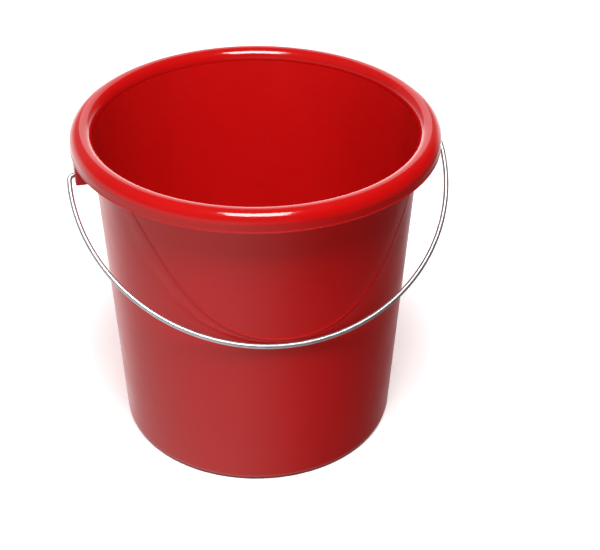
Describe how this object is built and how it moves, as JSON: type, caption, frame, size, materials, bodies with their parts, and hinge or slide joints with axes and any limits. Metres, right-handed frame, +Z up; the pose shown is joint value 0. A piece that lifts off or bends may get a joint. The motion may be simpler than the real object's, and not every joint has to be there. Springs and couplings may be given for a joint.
{
  "type": "bucket",
  "caption": "Round tapered bucket with a rolled rim, ear lugs under the rim, an inside litre scale and a hinged wire bail handle.",
  "frame": {"origin": "on the bucket's axis, in the plane it stands on", "axes": "+Z up along the bucket's axis, X along the bail's pivot axis, -Y towards the front wall where the bail rests"},
  "size_m": [0.2942, 0.28, 0.263],
  "materials": {
    "bucket_plastic": "glossy moulded polypropylene",
    "bail_wire": "bright galvanised steel wire"
  },
  "bodies": {
    "bucket": {"bucket_body": "bucket_plastic"},
    "bail": {"bail_handle": "bail_wire"}
  },
  "joints": [
    {"name": "bail_hinge", "type": "hinge", "parent": "bucket", "child": "bail", "pos_m": [0, 0, 0.2316], "axis": [-1, 0, 0], "range_deg": [0, 255]}
  ]
}
